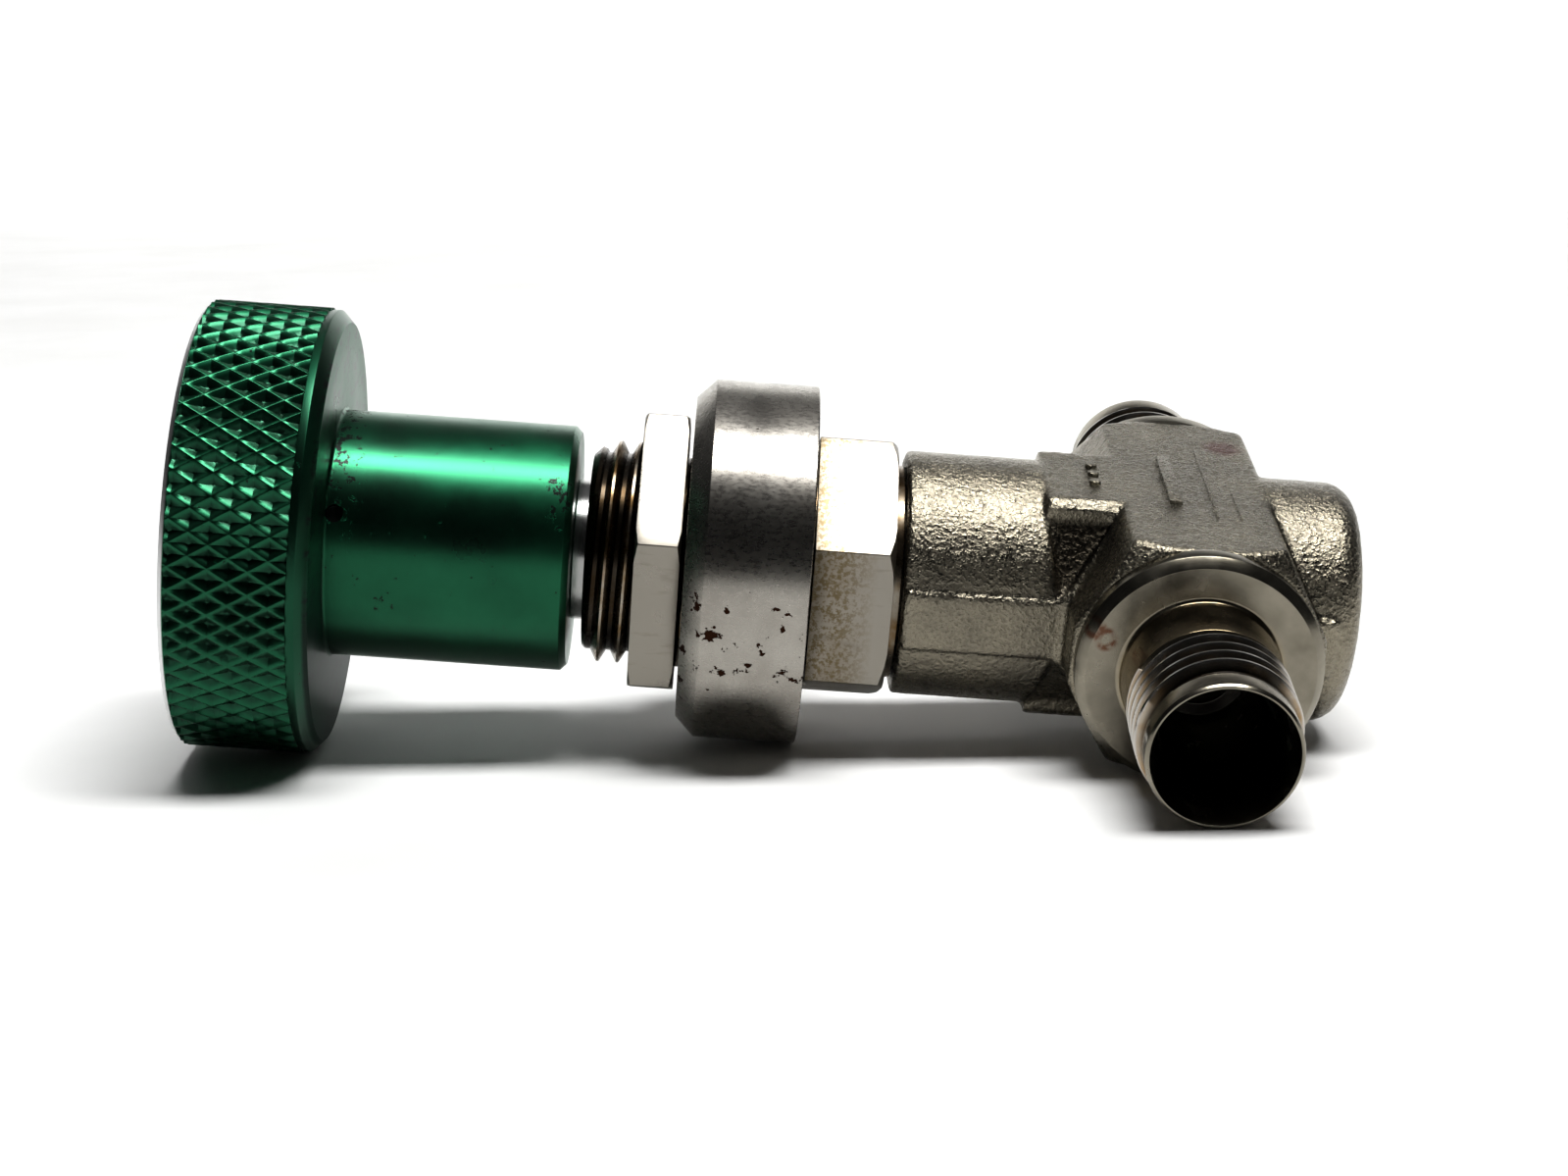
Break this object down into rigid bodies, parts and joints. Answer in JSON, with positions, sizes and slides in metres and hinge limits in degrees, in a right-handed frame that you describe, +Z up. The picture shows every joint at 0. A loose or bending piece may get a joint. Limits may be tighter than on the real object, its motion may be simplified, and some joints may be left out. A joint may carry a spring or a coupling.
{
  "type": "flow control valve",
  "caption": "Bellows-sealed flow control valve: knurled knob, panel nut and ring, hexagon bonnet and a straight forged body with threaded tube ports.",
  "frame": {"origin": "where the stem axis crosses the line through the two tube ports", "axes": "+X along the stem from the knob to the body's end boss, +Y along the ports towards the inlet, +Z up"},
  "size_m": [0.082, 0.0534, 0.0318],
  "materials": {
    "forged_steel": "grainy shot-blasted forging with turned port ends, warm tint",
    "turned_steel": "fine turned stainless steel, rust pits low on the ring",
    "hex_steel": "bright milled hexagon with a light straw tint",
    "thread_steel": "thread with dark, oily flanks",
    "green_anodised": "green anodised, turned hub and diamond knurl",
    "ground_steel": "ground shaft",
    "spring_steel": "oiled spring steel",
    "bronze": "bronze bearing alloy",
    "bellows_steel": "thin formed stainless steel",
    "black_rubber": "black nitrile rubber",
    "silver_plate": "silver-plated gasket",
    "hard_steel": "polished hardened steel"
  },
  "bodies": {
    "body": {"valve_body": "forged_steel", "bonnet": "hex_steel", "panel_ring": "turned_steel", "drive_nut": "bronze", "guide_bush": "bronze", "stem_wiper": "black_rubber", "bonnet_seal": "black_rubber", "body_gasket": "silver_plate", "bellows_flange": "bellows_steel", "bellows": "bellows_steel"},
    "stem": {"lower_stem": "ground_steel", "anti_turn_pin": "hard_steel", "stem_clip": "spring_steel", "thrust_ball": "hard_steel", "stem_tip": "hard_steel", "bellows_end_ring": "bellows_steel"},
    "handle": {"knob": "green_anodised", "knob_pin": "spring_steel", "actuator_stem": "ground_steel", "stop_ring": "spring_steel"},
    "nut": {"panel_nut": "hex_steel"}
  },
  "joints": [
    {"name": "stem_travel", "type": "slide", "parent": "body", "child": "stem", "axis": [-1, 0, 0], "range_m": [0, 0.00254], "deforming": ["bellows"]},
    {"name": "knob_turn", "type": "hinge", "parent": "stem", "child": "handle", "pos_m": [0, 0, 0], "axis": [-1, 0, 0], "range_deg": [0, 1440]},
    {"name": "nut_travel", "type": "slide", "parent": "body", "child": "nut", "axis": [-1, 0, 0], "range_m": [0, 0.0028]}
  ],
  "couplings": [
    {"joint": "knob_turn", "follows": "stem_travel", "rad_per_m": 9894.7}
  ]
}
